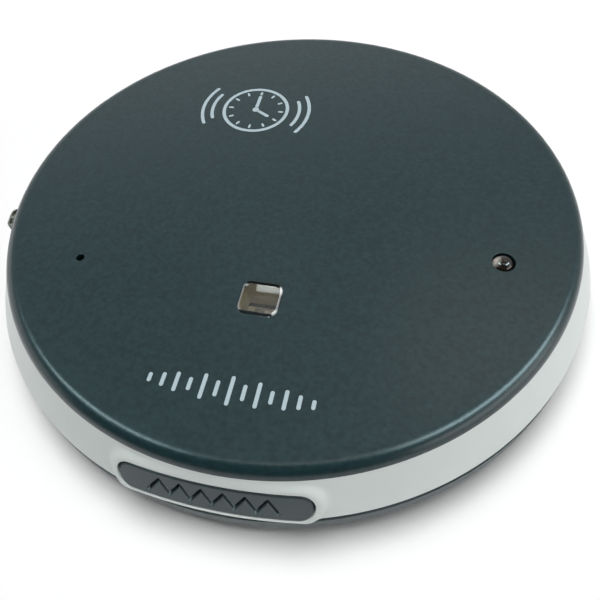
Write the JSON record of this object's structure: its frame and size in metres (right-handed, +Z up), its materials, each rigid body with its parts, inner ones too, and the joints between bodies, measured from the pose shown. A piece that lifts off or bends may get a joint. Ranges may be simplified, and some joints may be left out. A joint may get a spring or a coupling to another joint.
{
  "type": "bed shaker alarm clock",
  "caption": "Flat round vibrating alarm clock for under a pillow, with a snooze button in its flared side band, a flash window, a light sensor and a display underneath.",
  "frame": {"origin": "on the table under the centre of the disc, at the bottom of the feet", "axes": "+Z up along the disc's axis, -Y towards the snooze button, +X to the right"},
  "size_m": [0.1428, 0.1428, 0.0234],
  "materials": {
    "cover_plastic": "satin soft-touch",
    "band_plastic": "satin silver-white",
    "base_plastic": "satin",
    "button_plastic": "semi-gloss",
    "black_plastic": "gloss",
    "clear_plastic": "clear",
    "smoke_lens": "gloss",
    "white_plastic": "matte",
    "lamp_phosphor": "gloss",
    "display_cell": "gloss",
    "soft_rubber": "matte",
    "board_laminate": "satin",
    "screw_steel": "zinc plated",
    "motor_shell": "plated",
    "tinned_metal": "nickel plated",
    "cell_wrap": "printed foil",
    "weight_brass": "machined",
    "capacitor_sleeve": "sleeve",
    "wire_pvc": "satin"
  },
  "bodies": {
    "case": {"alarm_switch": "black_plastic", "base_shell": "base_plastic", "battery_leads": "wire_pvc", "board_screws": "screw_steel", "buzzer": "black_plastic", "buzzer_gasket": "soft_rubber", "capacitor": "capacitor_sleeve", "case_screws": "screw_steel", "contact_link": "tinned_metal", "contact_strips": "soft_rubber", "controller_chip": "black_plastic", "display_frame": "white_plastic", "display_glass": "display_cell", "display_window": "clear_plastic", "flash_lamp": "lamp_phosphor", "flash_lens": "clear_plastic", "flash_reflector": "white_plastic", "front_cell": "cell_wrap", "key_switches": "black_plastic", "light_sensor": "smoke_lens", "main_board": "board_laminate", "motor_can": "motor_shell", "motor_end_cap": "white_plastic", "motor_leads": "wire_pvc", "motor_pads": "soft_rubber", "negative_contact": "tinned_metal", "positive_contact": "tinned_metal", "rear_cell": "cell_wrap", "rubber_feet": "soft_rubber", "sensor_leads": "tinned_metal", "sensor_spacer": "black_plastic", "side_band": "band_plastic", "snooze_switch": "black_plastic", "top_cover": "cover_plastic", "watch_crystal": "tinned_metal"},
    "snooze": {"snooze_button": "button_plastic", "snooze_plunger": "black_plastic"},
    "alarm_slide": {"alarm_thumb": "black_plastic", "alarm_slider": "black_plastic"},
    "rotor": {"motor_shaft": "screw_steel", "eccentric_weight": "weight_brass"},
    "door": {"battery_door": "base_plastic", "door_screw": "screw_steel"},
    "time_key": {"time_key": "button_plastic", "time_key_plunger": "black_plastic"},
    "alarm_key": {"alarm_key": "button_plastic", "alarm_key_plunger": "black_plastic"},
    "hour_key": {"hour_key": "button_plastic", "hour_key_plunger": "black_plastic"},
    "minute_key": {"minute_key": "button_plastic", "minute_key_plunger": "black_plastic"}
  },
  "joints": [
    {"name": "snooze_press", "type": "slide", "parent": "case", "child": "snooze", "axis": [0, 1, 0], "range_m": [0, 0.001], "stiffness_N_per_m": 1500},
    {"name": "alarm_switch_slide", "type": "slide", "parent": "case", "child": "alarm_slide", "axis": [0.2045, -0.9789, 0], "range_m": [-0.001, 0.001]},
    {"name": "weight_spin", "type": "hinge", "parent": "case", "child": "rotor", "pos_m": [0.0095, 0.0036, 0.01175], "axis": [1, 0, 0], "continuous": true},
    {"name": "door_removal", "type": "slide", "parent": "case", "child": "door", "axis": [0, 0, -1], "range_m": [0, 0.012]},
    {"name": "time_key_press", "type": "slide", "parent": "case", "child": "time_key", "axis": [0, 0, 1], "range_m": [0, 0.0005], "stiffness_N_per_m": 2000},
    {"name": "alarm_key_press", "type": "slide", "parent": "case", "child": "alarm_key", "axis": [0, 0, 1], "range_m": [0, 0.0005], "stiffness_N_per_m": 2000},
    {"name": "hour_key_press", "type": "slide", "parent": "case", "child": "hour_key", "axis": [0, 0, 1], "range_m": [0, 0.0005], "stiffness_N_per_m": 2000},
    {"name": "minute_key_press", "type": "slide", "parent": "case", "child": "minute_key", "axis": [0, 0, 1], "range_m": [0, 0.0005], "stiffness_N_per_m": 2000}
  ]
}
